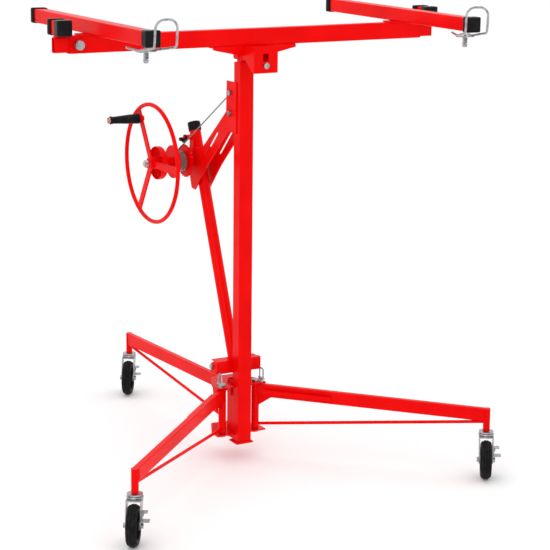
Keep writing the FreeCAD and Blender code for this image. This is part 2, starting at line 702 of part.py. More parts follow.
def build_hub():
    lower = s.hub_lower
    upper = s.hub_upper
    side = hinge_point(left_angle)
    reach = abs(side.x) + 27
    front = side.y - 22
    beside = s.mast_width / 2 + 1
    behind = mast_back + 0.5
    outline = [(-reach, front), (-beside, front), (-beside, behind), (beside, behind),
               (beside, front), (reach, front), (reach, side.y + 20), (42, s.hub_offset + 52),
               (-42, s.hub_offset + 52), (-reach, side.y + 20)]
    holes = [(x, side.y, s.hinge_pin_radius) for x in (side.x, -side.x)]
    latch_holes = [(latch_point(angle).x, latch_point(angle).y, s.latch_radius + pin_hole)
                   for angle in (left_angle, right_angle)]
    plates = [plate("LowerPlate", outline, "plate_thickness", frame(Vector(0, 0, lower)), holes),
              plate("UpperPlate", outline, "plate_thickness", frame(Vector(0, 0, upper)),
                    holes + latch_holes)]
    post_bottom = lower - 20
    post = square_tube("HubPost", "leg_height", "leg_height", upper + 14 - post_bottom,
                       "leg_wall", frame(Vector(0, behind + s.leg_height / 2, post_bottom)))
    foot = box("mast_width + 12", "mast_depth + 8", 5, Vector(0, 2, s.mast_bottom - 2.6))
    opening = box("mast_width - 12", "mast_depth - 12", 9, Vector(0, 0, s.mast_bottom - 3))
    foot_web = box(6, 24, 20, Vector(0, behind + 12, s.mast_bottom + 2))
    collar = box("mast_width + 10", 5, 30, Vector(0, behind + 2.5, upper - 18))
    keep(fuse(*plates, post, cut(foot, opening), foot_web, collar), "tripod_hub")

    pins = []
    for x in (side.x, -side.x):
        shank = cylinder("hinge_pin_radius", upper - lower + 12, Vector(x, side.y, lower - 4))
        head = hexagon(20, 7, Vector(x, side.y, upper + s.plate_thickness + 0.1), Z)
        nut = hexagon(20, 7, Vector(x, side.y, lower - 7.1), Z)
        pins.append(fuse(shank, head, nut))
    keep(group(*pins), "leg_hinge_pins")


def leg_solids(start, angle, length, inset):
    # The leg tube falls a little from the hub to the caster post; a rod ties them below.
    out = Rotation(Z, angle).multVec(X)
    across = Rotation(Z, angle + 90).multVec(X)
    begin = Vector(start.x, start.y, s.leg_inner_top - s.leg_height / 2) + out * inset
    end = Vector(start.x, start.y, s.stem_post_top - s.leg_height / 2) + out * length
    along = (end - begin).normalize()
    tube = square_tube("LegTube", "leg_width", "leg_height", (end - begin).Length,
                       "leg_wall", frame(begin, along, across))
    post = cylinder("stem_post_radius", "stem_post_top - stem_post_bottom",
                    Vector(end.x, end.y, s.stem_post_bottom))
    bore = cylinder("stem_radius + running_clearance", 60,
                    Vector(end.x, end.y, s.stem_post_bottom - 5))
    return out, across, begin, end, tube, post, bore


def build_front_leg(side, angle):
    start = hinge_point(angle)
    length = s.front_leg_reach - s.hinge_circle
    out, across, begin, end, tube, post, bore = leg_solids(start, angle, length, 6)
    barrel_bottom = s.hub_lower + s.plate_thickness + 2
    barrel = cylinder("hinge_pin_radius + 5", s.hub_upper - 2 - barrel_bottom,
                      Vector(start.x, start.y, barrel_bottom))
    pin_bore = cylinder("hinge_pin_radius + running_clearance", 180, Vector(start.x, start.y, 70))
    rod_start = Vector(start.x, start.y, barrel_bottom + 14) + out * 8
    rod_end = Vector(end.x, end.y, s.stem_post_bottom + 28)
    rod = cylinder("brace_radius", (rod_end - rod_start).Length, rod_start,
                   (rod_end - rod_start).normalize())
    gusset = plate("Gusset", [(9, -52), (9, -18), (60, -18)], 5,
                   frame(Vector(start.x, start.y, begin.z) + across * 2.5, across * -1, out))
    doubler = box(216, 12, 7, Vector(138, 0, -s.leg_height / 2 - 2))
    doubler.Placement = frame(begin - out * 6, (end - begin).normalize(), across * -1).multiply(
        Placement(Vector(), Rotation(Y, -90))).multiply(doubler.Placement)
    keep(cut(fuse(tube, post, barrel, rod, gusset, doubler), bore, pin_bore), side + "_leg")


def build_leg_latch(side, angle):
    # A sprung pull pin with a wire handle; its tip stands over the leg's top wall.
    at = latch_point(angle)
    plate_top = s.hub_upper + s.plate_thickness
    tip = s.hub_upper - 1.2
    shank = cylinder("latch_radius", plate_top + 12 - tip, Vector(at.x, at.y, tip))
    collar = cylinder(7.5, 3, Vector(at.x, at.y, plate_top + 0.4))
    rise = plate_top + 12
    bar = box(8, 28, 5, Vector(at.x, at.y, rise))
    route = [Vector(at.x, at.y - 11, rise), Vector(at.x, at.y - 11, rise + 32),
             Vector(at.x, at.y + 11, rise + 32), Vector(at.x, at.y + 11, rise)]
    handle = bent_wire(route, [8, 8], 4.4)
    keep(fuse(shank, collar, bar, handle), side + "_leg_latch")


def build_rear_leg():
    out, across, begin, end, tube, post, bore = leg_solids(hub, 90, s.rear_leg_reach, 30)
    rod_start = Vector(0, s.hub_offset + 40, 104)
    rod_end = Vector(end.x, end.y, s.stem_post_bottom + 28)
    rod = cylinder("brace_radius", (rod_end - rod_start).Length, rod_start,
                   (rod_end - rod_start).normalize())
    rib = plate("Rib", [(150, 206), (196, 206), (186, 170, 190, 132), (176, 112), (164, 112),
                        (170, 150)], 8, frame(Vector(-4, 0, 0), X, Y))
    keep(cut(fuse(tube, post, rod, rib), bore), "rear_leg")


def build_caster(name, point, heading):
    # The swivel fork trails its wheel; heading is the way the wheel lies from the stem.
    trail = Rotation(Z, heading).multVec(X)
    side = Rotation(Z, heading + 90).multVec(X)
    floor = Vector(point.x, point.y, 0)
    place = frame(floor, Z, trail)
    axle_height = s.caster_wheel_radius
    top = s.stem_post_bottom - 0.6
    half = s.caster_wheel_width / 2 + 3

    def local(item):
        item.Placement = place.multiply(item.Placement)
        return item

    stem = local(cylinder("stem_radius", 52, Vector(0, 0, top - 6)))
    head = local(turned("SwivelHead", [(0, top - 14), (23, top - 14), (24, top - 11, 23, top - 8),
                                       (20, top - 7), (20, top - 5), (22.5, top - 4.4),
                                       (22.5, top - 1), (12, top), (0, top)], Placement()))
    crown = local(box(50, 2 * half + 6, 3.5, Vector(8, 0, top - 14.5)))
    leg_outline = [(-17, top - 13), (33, top - 13), (s.caster_trail + 10, axle_height + 12),
                   (s.caster_trail + 13, axle_height + 1, s.caster_trail, axle_height - 13),
                   (s.caster_trail - 13, axle_height - 1,
                    s.caster_trail - 12, axle_height + 10)]
    cheeks = [local(plate("ForkCheek", leg_outline, 3, frame(Vector(0, y, 0), Y * -1, X)))
              for y in (half + 3, -half)]
    centre = Vector(s.caster_trail, 0, axle_height)
    axle_radius = 5
    axle = local(cylinder(axle_radius, 2 * half + 6, centre - Y * (half + 3), Y))
    ends = [local(hexagon(14, 6, centre + Y * (half + 2.9), Y)),
            local(hexagon(14, 6, centre - Y * (half + 2.9), Y * -1))]
    pivot = Vector(s.caster_trail - 6, half + 3.3, axle_height + 30)
    brake_pin = local(cylinder(3, 10, pivot - Y * 4, Y))
    pin_head = local(cylinder(5, 2, pivot + Y * 3, Y))
    keep(fuse(stem, head, crown, *cheeks, axle, *ends, brake_pin, pin_head),
         name + "_caster_fork")

    radius = s.caster_wheel_radius
    width = s.caster_wheel_width / 2
    rim = radius - 13
    tyre_outline = [(rim, -width + 2), (radius - 8, -width), (radius, 0, radius - 8, width),
                    (rim, width - 2)]
    lie = frame(floor + trail * s.caster_trail + Z * axle_height, side, Z)
    keep(turned(name + "Tyre", tyre_outline, lie), name + "_caster_tyre")
    web = 5
    bore = axle_radius + pin_hole
    core_outline = [(bore, -width), (13, -width), (13, -web), (rim - 6, -web),
                    (rim - 6, -width + 2), (rim, -width + 2), (rim, width - 2),
                    (rim - 6, width - 2), (rim - 6, web), (13, web), (13, width), (bore, width)]
    core = turned(name + "Core", core_outline, lie)
    keep(core, name + "_caster_rim")

    # Foot lever on the right of the fork, with an upper and a lower tread.
    arm_outline = [(-9, 5), (0, 9, 9, 5), (12, -9), (20, -16), (-8, -16)]
    arm = plate("LeverArm", arm_outline, 2.5,
                frame(pivot + Y * 2.5, Y * -1, X), [(0, 0, 3 + pin_hole)])
    upper_tread = box(22, 16, 3, pivot + Vector(0, 9, 8.5))
    lower_tread = box(24, 22, 3, pivot + Vector(6, 12, -15))
    keep(local(fuse(arm, upper_tread, lower_tread)), name + "_caster_brake")


# ---- Cradle --------------------------------------------------------------------------

def build_mast_head():
    # An arm welded to the front of the inner tube; the cradle tilts on its round end.
    pivot = Vector(0, s.tilt_pivot_y, s.tilt_pivot_height)
    half = 15
    outline = [(inner_front - 0.02, pivot.z + half), (pivot.y, pivot.z + half),
               (pivot.y - half, pivot.z, pivot.y, pivot.z - half),
               (middle_front - 2, pivot.z - half), (middle_front - 2, middle_top + 1.5),
               (inner_front - 0.02, middle_top + 1.5)]
    arm = plate("HeadArm", outline, 36, frame(Vector(-18, 0, 0), X, Y),
                [(pivot.y, pivot.z, s.cradle_bolt_radius + pin_hole)])
    hollow = box(28, 14, 22, Vector(0, inner_front - 9, pivot.z))
    lid = box(30, inner_back - inner_front, 3,
              Vector(0, (inner_front + inner_back) / 2, inner_top + 1.5))
    keep(fuse(cut(arm, hollow), lid), "mast_head")


def build_tilt_parts():
    # A small channel on the tilt bolt carries the roll bolt in front of it.
    pivot = Vector(0, s.tilt_pivot_y, s.tilt_pivot_height)
    t = s.plate_thickness
    channel_half = 20
    web_back = pivot.y - 23
    web_front = web_back - t
    top = pivot.z + 16
    bottom = s.roll_pivot_height - 13
    web = box(2 * (channel_half + t), t, top - bottom,
              Vector(0, web_back - t / 2, (top + bottom) / 2))
    cheek_outline = [(web_front, top), (pivot.y + 10, top),
                     (pivot.y + 14, pivot.z, pivot.y + 8, pivot.z - 12), (web_front, bottom)]
    cheeks = [plate("TiltCheek", cheek_outline, t, frame(Vector(x, 0, 0), X, Y),
                    [(pivot.y, pivot.z, s.cradle_bolt_radius)])
              for x in (channel_half, -channel_half - t)]
    roll_hole = cylinder("cradle_bolt_radius", 3 * t,
                         Vector(0, web_front - t, s.roll_pivot_height), Y)
    keep(cut(fuse(web, *cheeks), roll_hole), "tilt_channel")

    end = channel_half + t + 0.3
    shank = cylinder("cradle_bolt_radius", 2 * end + 8, Vector(-end - 4, pivot.y, pivot.z), X)
    ends = [hexagon(19, 5, Vector(end, pivot.y, pivot.z), X),
            hexagon(19, 5, Vector(-end, pivot.y, pivot.z), X * -1)]
    tilt_bolt = fuse(shank, *ends)

    # The saddle is a box open at the back and below, with a wing on each side under the
    # beam; it hangs and rolls on the roll bolt.
    front = -s.saddle_front
    half = s.saddle_half_width
    wing = s.wing_reach
    rest = s.beam_bottom - t
    low = s.roll_pivot_height - 22
    beam_front = s.beam_y - s.beam_depth / 2
    face = box(2 * half, t, rest - low, Vector(0, front + t / 2, (rest + low) / 2))
    window = box(18, 4 * t, 22, Vector(0, front, pivot.z + 2))
    face_hole = cylinder("cradle_bolt_radius + running_clearance", 3 * t,
                         Vector(0, front - t, s.roll_pivot_height), Y)
    side_outline = [(front, rest), (front, low), (front + 12, low + 2),
                    (beam_front, rest - 24), (beam_front + 10, rest)]
    sides = [plate("SaddleSide", side_outline, t, frame(Vector(x, 0, 0), X, Y))
             for x in (half - t, -half)]
    gusset_outline = [(half - 1, rest + 1), (wing, rest + 1), (wing, rest - 5),
                      (half + 10, rest - 24), (half - 1, rest - 24)]
    gussets = [plate("SaddleWing", [(sign * x, z) for x, z in gusset_outline], t,
                     frame(Vector(0, beam_front, 0), Y * -1, X)) for sign in (1, -1)]
    shelf = box("2 * wing_reach", "beam_depth + 4", t,
                Vector(0, s.beam_y - 2, s.beam_bottom - t / 2))
    lid = box("2 * saddle_half_width", beam_front - front, t,
              Vector(0, (beam_front + front) / 2, s.beam_bottom - t / 2))
    keep(fuse(cut(face, window, face_hole), *sides, *gussets, shelf, lid), "beam_saddle")

    height = s.roll_pivot_height
    shank = cylinder("cradle_bolt_radius", web_back + 5 - (front - 4),
                     Vector(0, front - 4, height), Y)
    spacer = cylinder(9, web_front - 0.3 - (front + t + 0.3), Vector(0, front + t + 0.3, height), Y)
    ends = [hexagon(17, 6, Vector(0, front - 0.3, height), Y * -1),
            hexagon(17, 6, Vector(0, web_back + 0.3, height), Y)]
    roll_bolt = fuse(shank, spacer, *ends)
    keep(group(tilt_bolt, roll_bolt), "cradle_bolts")


def build_beam():
    beam = square_tube("Beam", "beam_depth", "beam_height", "beam_length", "beam_wall",
                       frame(Vector(-beam_end, s.beam_y, beam_middle), X, Y))
    knob_holes = []
    for side in (-1, 1):
        start = Vector(side * (beam_end - s.clamp_inset), s.beam_y, beam_middle)
        knob_holes.append(cylinder("clamp_radius + running_clearance", 30, start, Y * side))
    keep(cut(beam, *knob_holes), "main_beam")


def end_caps(ends):
    # A pair of caps over the front and back ends of a square tube.
    caps = []
    for point, direction in zip(ends, (Y * -1, Y)):
        outer = s.arm_side + 2 * cap_over
        hole = s.arm_side + 2 * s.cap_clearance
        closed_at = point + direction * s.cap_wall
        shell = box(outer, s.cap_length, outer, closed_at - direction * (s.cap_length / 2))
        inside = box(hole, s.cap_length, hole,
                     closed_at - direction * (s.cap_length / 2 + s.cap_wall - 0.02))
        caps.append(cut(shell, inside))
    return caps


def build_arms():
    caps = []
    for side, x in (("left", -s.arm_spacing), ("right", s.arm_spacing)):
        front = Vector(x, s.beam_y - s.arm_front, arm_middle)
        back = Vector(x, s.beam_y + s.arm_back, arm_middle)
        tube = square_tube("Arm" + side, "arm_side", "arm_side", "arm_front + arm_back",
                           "beam_wall", frame(front, Y, X))
        seat = box(88, "beam_depth + 16", "plate_thickness",
                   Vector(x, s.beam_y, beam_top + s.plate_thickness / 2))
        hole = cylinder("hook_bolt_radius + running_clearance", 70,
                        Vector(x, hook_bolt_y, arm_bottom - 10))
        keep(cut(fuse(tube, seat), hole), "cross_arm_" + side)
        caps += end_caps((front, back))
    keep(group(*caps), "arm_caps")


def build_extension(side, sign):
    inner_x = sign * (beam_end - s.extension_inside)
    length = s.extension_inside + s.extension_stub
    start = Vector(inner_x if sign > 0 else inner_x - length, s.beam_y, beam_middle)
    tube = square_tube("Extension" + side,
                       "beam_depth - 2 * beam_wall - 2 * extension_gap",
                       "beam_height - 2 * beam_wall - 2 * extension_gap",
                       "extension_inside + extension_stub", "beam_wall",
                       frame(start, X, Y))
    outer_x = sign * (beam_end + s.extension_stub)
    head_x = outer_x - sign * s.arm_side / 2
    front = Vector(head_x, s.beam_y - s.head_length / 2, arm_middle)
    back = Vector(head_x, s.beam_y + s.head_length / 2, arm_middle)
    head = square_tube("Head" + side, "arm_side", "arm_side", "head_length", "beam_wall",
                       frame(front, Y, X))
    extension_top = beam_middle + extension_height / 2
    riser = box(32, 18, arm_bottom - extension_top + 2,
                Vector(head_x, s.beam_y, (arm_bottom + extension_top) / 2))
    keep(fuse(tube, head, riser), side + "_extension")
    keep(group(*end_caps((front, back))), side + "_head_caps")

    # Clamp screw with a round knob; its tip presses the extension tube.
    out = Y * sign
    face = Vector(sign * (beam_end - s.clamp_inset), s.beam_y + sign * s.beam_depth / 2,
                  beam_middle)
    screw = cylinder("clamp_radius", 18 + s.beam_wall + s.extension_gap - 0.3,
                     face - out * (s.beam_wall + s.extension_gap - 0.3), out)
    knob = cylinder(13.5, 12, face + out * 10, out)
    collar = cylinder(8, 9.4, face + out * 0.6, out)
    keep(fuse(screw, knob, collar), side + "_clamp_knob")


def hook_wire(x, swing):
    bolt_point = Vector(x, hook_bolt_y, hook_level)
    w = s.hook_half_width
    r = s.hook_reach
    lift = 18
    points = [Vector(-15, 90, 0), Vector(-w + 9, 0, 0), Vector(-w, -r, lift),
              Vector(-w, -r - 8, s.hook_rise), Vector(w, -r - 8, s.hook_rise),
              Vector(w, -r, lift), Vector(w - 9, 0, 0), Vector(w - 12, 40, 0)]
    wire = bent_wire(points, [30, 14, w - 6, w - 6, 14, 20], s.hook_wire)
    pad_plate = box(2 * w - 14, 26, 3, Vector(0, 0, -s.hook_wire / 2 + 0.6))
    hole = cylinder("hook_bolt_radius + running_clearance", 30, Vector(0, 0, -15))
    item = cut(fuse(wire, pad_plate), hole)
    item.Placement = Placement(bolt_point, Rotation(Z, swing))
    return item


def build_hooks():
    bolts = []
    springs = []
    plate_bottom = hook_level - s.hook_wire / 2 - 0.9
    for side, x, swing in (("left", -s.arm_spacing, 0), ("right", s.arm_spacing, -20)):
        keep(hook_wire(x, swing), side + "_hook")
        foot = plate_bottom - 30
        top = arm_top + 0.1
        at = Vector(x, hook_bolt_y, 0)
        shank = cylinder("hook_bolt_radius", top - foot + 0.8, at + Z * foot)
        head = turned("CarriageHead" + side, [(0, 0), (9, 0), (8, 1.4), (5, 2.3), (0, 2.3)],
                      frame(at + Z * top))
        nut = hexagon(13, 6.5, at + Z * (foot + 0.4), Z)
        washer = cylinder(9, 1.6, at + Z * (foot + 7))
        bolts.append(fuse(shank, head, nut, washer))
        springs.append(turned("Spring" + side,
                              [(4.4, 0), (8, 0), (8, 20.6), (4.4, 20.6)],
                              frame(at + Z * (foot + 8.9))))
    keep(group(*bolts), "hook_bolts")
    keep(group(*springs), "hook_springs")


# ---- Build ---------------------------------------------------------------------------

build_mast()
build_pulleys()
build_cables()
build_winch_bracket()
build_winch_post()
build_cross_channel()
build_winch()
build_hub()
for leg_side, leg_angle in (("left", left_angle), ("right", right_angle)):
    build_front_leg(leg_side, leg_angle)
    build_leg_latch(leg_side, leg_angle)
build_rear_leg()
for caster, direction, leg_reach in (("left", left_angle, s.front_leg_reach),
                                     ("right", right_angle, s.front_leg_reach),
                                     ("rear", 90, s.rear_leg_reach)):
    stem_point = hub + Rotation(Z, direction).multVec(X) * leg_reach
    build_caster(caster, stem_point, s.caster_heading)
build_mast_head()
build_tilt_parts()
build_beam()
build_arms()
build_extension("left", -1)
build_extension("right", 1)
build_hooks()
document.recompute()

# The footprint's middle becomes the origin.
whole = FreeCAD.BoundBox()
for item in nodes.values():
    whole.add(item.Shape.optimalBoundingBox(False, False))
move = Vector(-whole.Center.x, -whole.Center.y, -whole.ZMin)
for item in nodes.values():
    item.Placement = Placement(move, Rotation()).multiply(item.Placement)
document.recompute()

for item in document.Objects:
    if "Invalid" in item.State or "Error" in item.State:
        raise RuntimeError(f"{item.Label} failed: {item.State}")
for label, item in nodes.items():
    if item.Shape.isNull() or not item.Shape.isValid():
        raise RuntimeError(f"{label} has no valid shape")
    if not item.Shape.Solids:
        raise RuntimeError(f"{label} has no solid")

os.makedirs("parts", exist_ok=True)
for label, item in nodes.items():
    item.Shape.exportStep(f"parts/{label}.step")
print(len(nodes), "nodes; mast axis at", round(move.x, 3), round(move.y, 3), round(move.z, 3))
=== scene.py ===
import json
import math

import bmesh
import bpy
from mathutils import Matrix, Vector


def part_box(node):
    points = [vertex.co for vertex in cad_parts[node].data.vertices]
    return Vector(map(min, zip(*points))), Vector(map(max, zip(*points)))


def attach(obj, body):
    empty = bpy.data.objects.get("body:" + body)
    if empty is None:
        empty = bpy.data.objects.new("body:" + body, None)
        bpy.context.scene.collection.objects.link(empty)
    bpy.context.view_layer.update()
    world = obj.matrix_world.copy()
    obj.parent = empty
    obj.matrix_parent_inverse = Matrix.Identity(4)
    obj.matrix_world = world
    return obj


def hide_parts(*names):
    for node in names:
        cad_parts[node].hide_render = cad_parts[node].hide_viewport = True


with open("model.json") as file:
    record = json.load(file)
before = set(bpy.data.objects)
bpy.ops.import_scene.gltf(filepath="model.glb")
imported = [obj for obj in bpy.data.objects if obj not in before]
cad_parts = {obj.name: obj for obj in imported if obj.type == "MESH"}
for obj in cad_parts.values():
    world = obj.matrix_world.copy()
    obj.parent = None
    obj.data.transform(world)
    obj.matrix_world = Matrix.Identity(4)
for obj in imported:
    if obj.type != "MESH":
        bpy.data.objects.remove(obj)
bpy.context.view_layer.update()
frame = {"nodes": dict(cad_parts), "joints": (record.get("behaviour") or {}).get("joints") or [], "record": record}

# Drywall lift: finishes for the frame, and the pieces that need more shape than the frame has.

nodes = frame["nodes"]
joints = {joint["name"]: joint for joint in frame["joints"]}
mastLow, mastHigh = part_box("mast_outer_tube")
mastAxis = (mastLow + mastHigh) / 2
print("frame loaded with", len(nodes), "nodes")


class Signal:  # one value in a shader, so that its maths can be written as sums

    def __init__(self, tree, socket):
        self.tree = tree
        self.socket = socket

    def maths(self, operation, first, second):
        node = self.tree.nodes.new("ShaderNodeMath")
        node.operation = operation
        for place, value in zip(node.inputs, (first, second)):
            if isinstance(value, Signal):
                self.tree.links.new(value.socket, place)
            else:
                place.default_value = value
        return Signal(self.tree, node.outputs[0])

    def __add__(self, other):
        return self.maths("ADD", self, other)

    def __radd__(self, other):
        return self.maths("ADD", other, self)

    def __sub__(self, other):
        return self.maths("SUBTRACT", self, other)

    def __rsub__(self, other):
        return self.maths("SUBTRACT", other, self)

    def __mul__(self, other):
        return self.maths("MULTIPLY", self, other)

    def __rmul__(self, other):
        return self.maths("MULTIPLY", other, self)


class Finish:  # one material and the nodes that make it

    def __init__(self, name):
        self.material = bpy.data.materials.new(name)
        self.material.use_nodes = True
        self.tree = self.material.node_tree
        self.shader = self.tree.nodes["Principled BSDF"]

    def node(self, kind, settings=None, sockets=None, output=0):
        made = self.tree.nodes.new(kind)
        for key, value in (settings or {}).items():
            if key == "stops":
                for element, stop in zip(made.color_ramp.elements, value):
                    element.position = stop[0]
                    element.color = stop[1]
            else:
                setattr(made, key, value)
        for key, value in (sockets or {}).items():
            self.feed(made.inputs[key], value)
        return Signal(self.tree, made.outputs[output])

    def feed(self, place, value):
        if isinstance(value, Signal):
            self.tree.links.new(value.socket, place)
        else:
            place.default_value = value

    def set(self, **constants):
        for key, value in constants.items():
            self.shader.inputs[key.replace("_", " ")].default_value = value

    def drive(self, name, value):
        self.feed(self.shader.inputs[name], value)

    def place(self, scale=(1, 1, 1), turn=(0, 0, 0)):
        spot = self.node("ShaderNodeTexCoord", output="Object")
        return self.node("ShaderNodeMapping", sockets={"Vector": spot, "Scale": scale,
                                                       "Rotation": turn})

    def noise(self, where, scale, detail=4.0, roughness=0.55):
        return self.node("ShaderNodeTexNoise", sockets={"Vector": where, "Scale": scale,
                                                        "Detail": detail,
                                                        "Roughness": roughness})

    def spread(self, value, low, high, bottom=0.0, top=1.0):  # low..high becomes bottom..top
        return self.node("ShaderNodeMapRange", sockets={"Value": value, "From Min": low,
                                                        "From Max": high, "To Min": bottom,
                                                        "To Max": top})

    def mix(self, amount, first, second):
        return self.node("ShaderNodeMix", {"data_type": "RGBA"},
                         {0: amount, 6: first, 7: second}, output=2)

    def bump(self, height, strength, distance):
        self.drive("Normal", self.node("ShaderNodeBump",
                                       sockets={"Height": height, "Strength": strength,
                                                "Distance": distance}))


def powderCoat():  # glossy red powder coat with a fine orange peel
    paint = {"main": (0.84, 0.0010, 0.0010, 1), "deep": (0.74, 0.0006, 0.0008, 1),
             "worn": (0.90, 0.005, 0.003, 1), "gloss": (0.30, 0.44)}
    coat = Finish("redPowderCoat")
    where = coat.place()
    clouds = coat.noise(where, 6.0, 3.0)
    peel = coat.noise(where, 420.0, 2.0)
    specks = coat.noise(where, 95.0, 5.0, 0.7)
    tone = coat.mix(coat.spread(clouds, 0.35, 0.65), paint["deep"], paint["main"])
    coat.drive("Base Color", coat.mix(coat.spread(specks, 0.62, 0.78, 0.0, 0.5), tone,
                                      paint["worn"]))
    coat.drive("Roughness", coat.spread(specks * 0.5 + clouds * 0.5, 0.3, 0.7, *paint["gloss"]))
    coat.set(IOR=1.12, Coat_Roughness=0.14, Coat_IOR=1.2)
    coat.drive("Coat Weight", coat.spread(clouds, 0.3, 0.7, 0.1, 0.3))
    coat.bump(peel + specks * 0.3, 0.12, 0.0004)
    return coat.material


def zincPlate():  # bright zinc plate: blotchy, with faint draw marks
    plate = {"light": (0.50, 0.51, 0.53, 1), "dull": (0.24, 0.245, 0.26, 1),
             "stain": (0.36, 0.32, 0.26, 1), "gloss": (0.20, 0.42)}
    zinc = Finish("zincPlate")
    where = zinc.place()
    blotch = zinc.noise(where, 70.0, 5.0, 0.65)
    drawn = zinc.noise(zinc.place(scale=(1, 1, 0.08)), 900.0, 2.0)
    stain = zinc.noise(where, 26.0, 3.0)
    tone = zinc.mix(zinc.spread(blotch, 0.35, 0.65), plate["dull"], plate["light"])
    zinc.drive("Base Color", zinc.mix(zinc.spread(stain, 0.6, 0.75, 0.0, 0.35), tone,
                                      plate["stain"]))
    zinc.drive("Roughness", zinc.spread(blotch * 0.6 + drawn * 0.4, 0.35, 0.65, *plate["gloss"]))
    zinc.drive("Metallic", zinc.spread(stain, 0.4, 0.8, 1.0, 0.85))
    zinc.bump(drawn * 0.6 + blotch, 0.10, 0.0003)
    return zinc.material


def mouldedPlastic():  # black polypropylene with a spark-eroded grain
    cap = {"dark": (0.005, 0.005, 0.0055, 1), "pale": (0.012, 0.012, 0.013, 1),
           "gloss": (0.28, 0.42)}
    plastic = Finish("blackMouldedPlastic")
    where = plastic.place()
    grain = plastic.noise(where, 1400.0, 3.0, 0.7)
    scuff = plastic.noise(where, 38.0, 6.0, 0.7)
    plastic.drive("Base Color", plastic.mix(plastic.spread(scuff, 0.45, 0.75), cap["dark"],
                                            cap["pale"]))
    plastic.drive("Roughness", plastic.spread(scuff, 0.3, 0.7, *cap["gloss"]))
    plastic.set(IOR=1.2)
    plastic.bump(grain + scuff * 0.4, 0.25, 0.0003)
    return plastic.material


def gripRubber():  # soft black crank grip, a little polished by hands
    hold = {"dark": (0.006, 0.006, 0.0065, 1), "pale": (0.022, 0.0215, 0.021, 1),
            "gloss": (0.30, 0.58)}
    rubber = Finish("gripRubber")
    where = rubber.place()
    worn = rubber.noise(where, 48.0, 5.0, 0.6)
    pores = rubber.noise(where, 1100.0, 2.0)
    rubber.drive("Base Color", rubber.mix(rubber.spread(worn, 0.5, 0.8), hold["dark"],
                                          hold["pale"]))
    rubber.drive("Roughness", rubber.spread(worn, 0.3, 0.7, *hold["gloss"]))
    rubber.set(IOR=1.2)
    rubber.bump(pores, 0.2, 0.0003)
    return rubber.material


def tyreRubber():  # black tread with grey floor dust
    tread = {"dark": (0.006, 0.006, 0.0065, 1), "dust": (0.028, 0.027, 0.026, 1),
             "gloss": (0.42, 0.72)}
    tyre = Finish("tyreRubber")
    where = tyre.place()
    dust = tyre.noise(where, 60.0, 6.0, 0.7)
    pores = tyre.noise(where, 900.0, 2.0)
    tyre.drive("Base Color", tyre.mix(tyre.spread(dust, 0.48, 0.8), tread["dark"], tread["dust"]))
    tyre.drive("Roughness", tyre.spread(dust, 0.3, 0.7, *tread["gloss"]))
    tyre.set(IOR=1.2)
    tyre.bump(pores + dust * 0.5, 0.3, 0.0004)
    return tyre.material


def wheelCore():  # dark moulded caster core
    core = {"dark": (0.008, 0.008, 0.009, 1), "pale": (0.025, 0.025, 0.027, 1),
            "gloss": (0.35, 0.5)}
    plastic = Finish("casterCore")
    where = plastic.place()
    flow = plastic.noise(where, 30.0, 4.0)
    grain = plastic.noise(where, 1000.0, 2.0)
    plastic.drive("Base Color", plastic.mix(plastic.spread(flow, 0.4, 0.8), core["dark"],
                                            core["pale"]))
    plastic.drive("Roughness", plastic.spread(flow, 0.3, 0.7, *core["gloss"]))
    plastic.set(IOR=1.2)
    plastic.bump(grain, 0.15, 0.0003)
    return plastic.material


def whiteNylon():  # slide pads inside the mast
    pad = {"clean": (0.78, 0.77, 0.72, 1), "greasy": (0.45, 0.42, 0.34, 1),
           "gloss": (0.35, 0.5)}
    nylon = Finish("whiteNylon")
    where = nylon.place()
    grease = nylon.noise(where, 55.0, 5.0)
    nylon.drive("Base Color", nylon.mix(nylon.spread(grease, 0.45, 0.75), pad["clean"],
                                        pad["greasy"]))
    nylon.drive("Roughness", nylon.spread(grease, 0.3, 0.7, *pad["gloss"]))
    nylon.bump(grease, 0.1, 0.0003)
    return nylon.material


def wireRope():  # galvanised strands laid round the rope, with painted shade darkening the valleys between strands
    rope = {"crown": (0.36, 0.365, 0.37, 1), "valleyShade": (0.06, 0.06, 0.06, 1),
            "gloss": (0.3, 0.6)}
    strand = Finish("wireRope")
    where = strand.place(turn=(0.5, 0.35, 0.6))
    lay = strand.node("ShaderNodeTexWave", {"wave_type": "BANDS", "bands_direction": "DIAGONAL"},
                      {"Vector": where, "Scale": 210.0, "Distortion": 0.6}, output="Fac")
    wear = strand.noise(strand.place(), 120.0, 4.0)
    # base colour: painted shade, dark in the valleys between strands and lighter on their crowns
    strand.drive("Base Color", strand.mix(strand.spread(lay, 0.05, 0.7), rope["valleyShade"],
                                          rope["crown"]))
    strand.drive("Roughness", strand.spread(wear, 0.3, 0.7, *rope["gloss"]))
    strand.drive("Metallic", strand.spread(lay, 0.0, 0.6, 0.6, 1.0))
    strand.bump(lay, 0.5, 0.0006)
    return strand.material


def turnedSteel():  # bare machined steel, lightly oiled
    metal = {"bright": (0.62, 0.61, 0.60, 1), "oiled": (0.30, 0.28, 0.25, 1),
             "gloss": (0.2, 0.42)}
    steel = Finish("turnedSteel")
    rings = steel.noise(steel.place(scale=(1, 0.04, 0.04)), 1600.0, 2.0)
    oil = steel.noise(steel.place(), 45.0, 4.0)
    steel.drive("Base Color", steel.mix(steel.spread(oil, 0.4, 0.75), metal["bright"],
                                        metal["oiled"]))
    steel.drive("Roughness", steel.spread(rings * 0.5 + oil * 0.5, 0.3, 0.7, *metal["gloss"]))
    steel.drive("Metallic", steel.spread(oil, 0.3, 0.8, 1.0, 0.9))
    steel.bump(rings, 0.15, 0.0002)
    return steel.material


